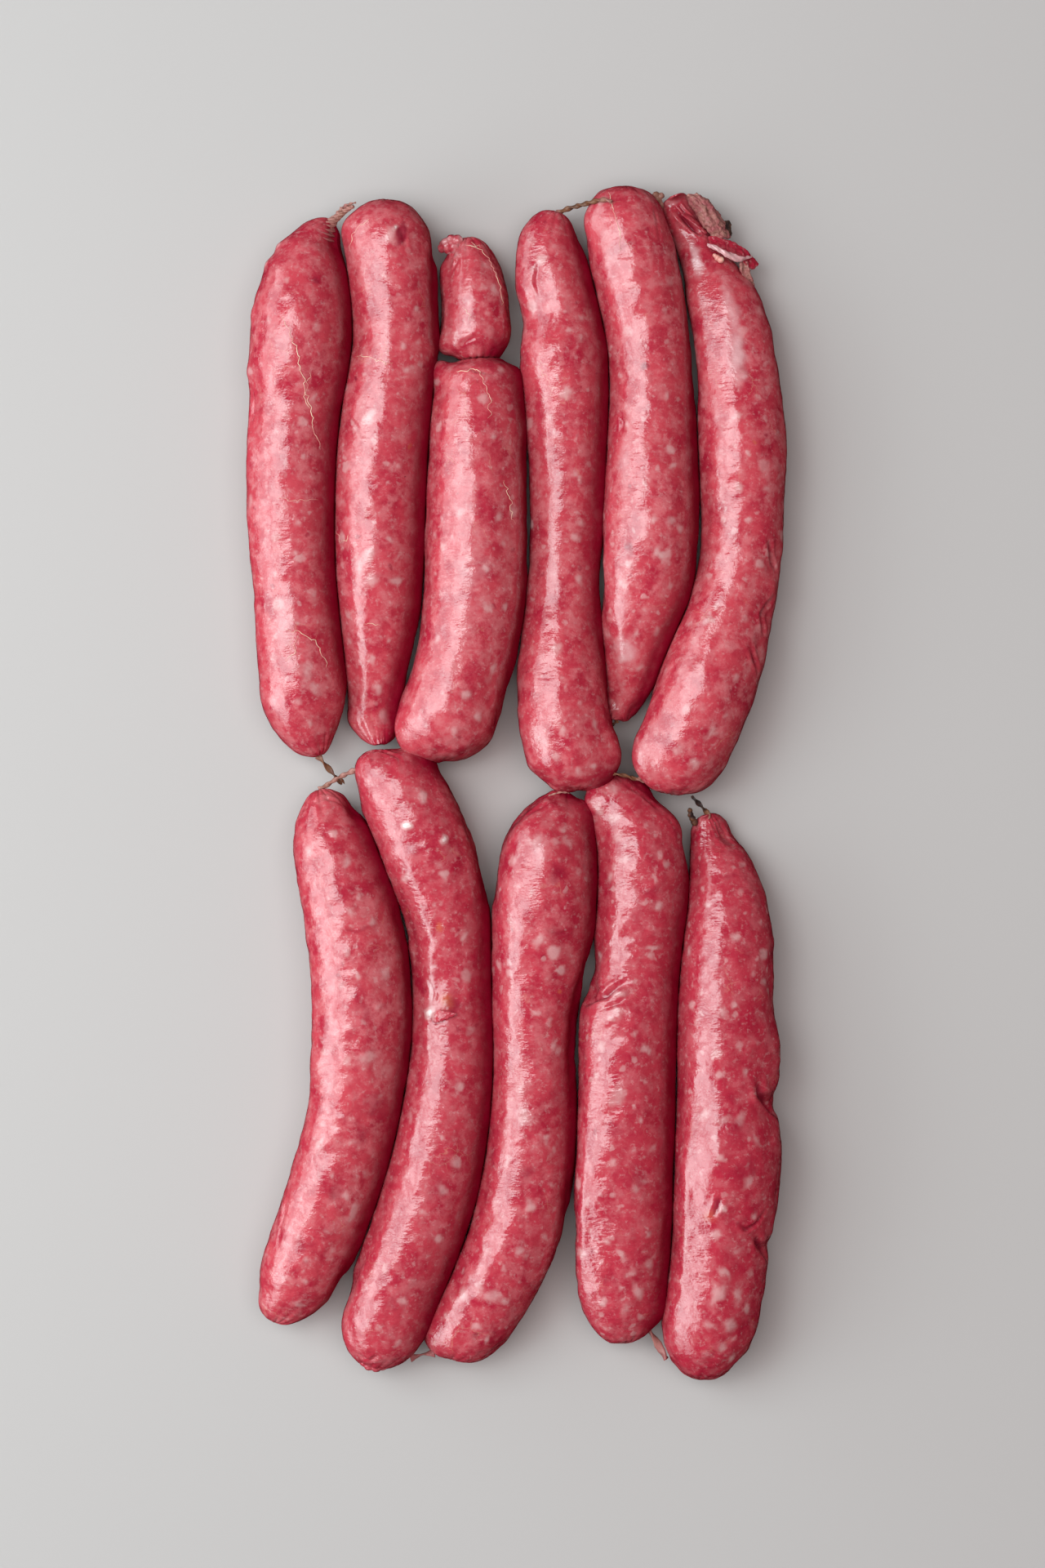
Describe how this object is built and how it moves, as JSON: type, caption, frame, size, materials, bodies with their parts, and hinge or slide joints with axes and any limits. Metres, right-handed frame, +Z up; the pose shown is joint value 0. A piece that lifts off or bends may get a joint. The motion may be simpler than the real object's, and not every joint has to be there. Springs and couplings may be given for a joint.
{
  "type": "string of sausage links",
  "caption": "Fresh sausage links in thin glossy casing, laid flat to and fro in rows, with twisted casing between the links and an end that is torn open.",
  "frame": {"origin": "middle of the whole string's outline, on the surface that it lies on", "axes": "+Y along the links, towards the row that holds the short end link; +X across the links, towards the torn end; +Z up, through the thickness"},
  "size_m": [0.141, 0.3118, 0.0252],
  "materials": {
    "stuffed_casing": "moist thin natural casing over coarse pink-red mince with pale fat",
    "twisted_casing": "empty casing wrung into a pale tan strand, half dry"
  },
  "bodies": {
    "root": {"link_end_short": "stuffed_casing", "link_upper_1": "stuffed_casing", "link_upper_2": "stuffed_casing", "link_upper_3": "stuffed_casing", "link_upper_4": "stuffed_casing", "link_upper_5": "stuffed_casing", "link_upper_6": "stuffed_casing", "link_lower_1": "stuffed_casing", "link_lower_2": "stuffed_casing", "link_lower_3": "stuffed_casing", "link_lower_4": "stuffed_casing", "link_lower_5": "stuffed_casing", "torn_strip_a": "stuffed_casing", "torn_strip_b": "stuffed_casing", "twist_upper_1_2": "twisted_casing", "twist_upper_4_5": "twisted_casing", "twist_lower_1_2": "twisted_casing", "stub_upper_1": "twisted_casing", "strand_middle": "twisted_casing", "strand_lower_3": "twisted_casing", "web_lower_2_3": "twisted_casing", "web_lower_4_5": "twisted_casing", "stub_lower_5": "twisted_casing", "stub_upper_5": "twisted_casing", "nub_end_short": "twisted_casing", "nub_lower_5": "twisted_casing", "nub_upper_6": "twisted_casing"}
  },
  "joints": []
}
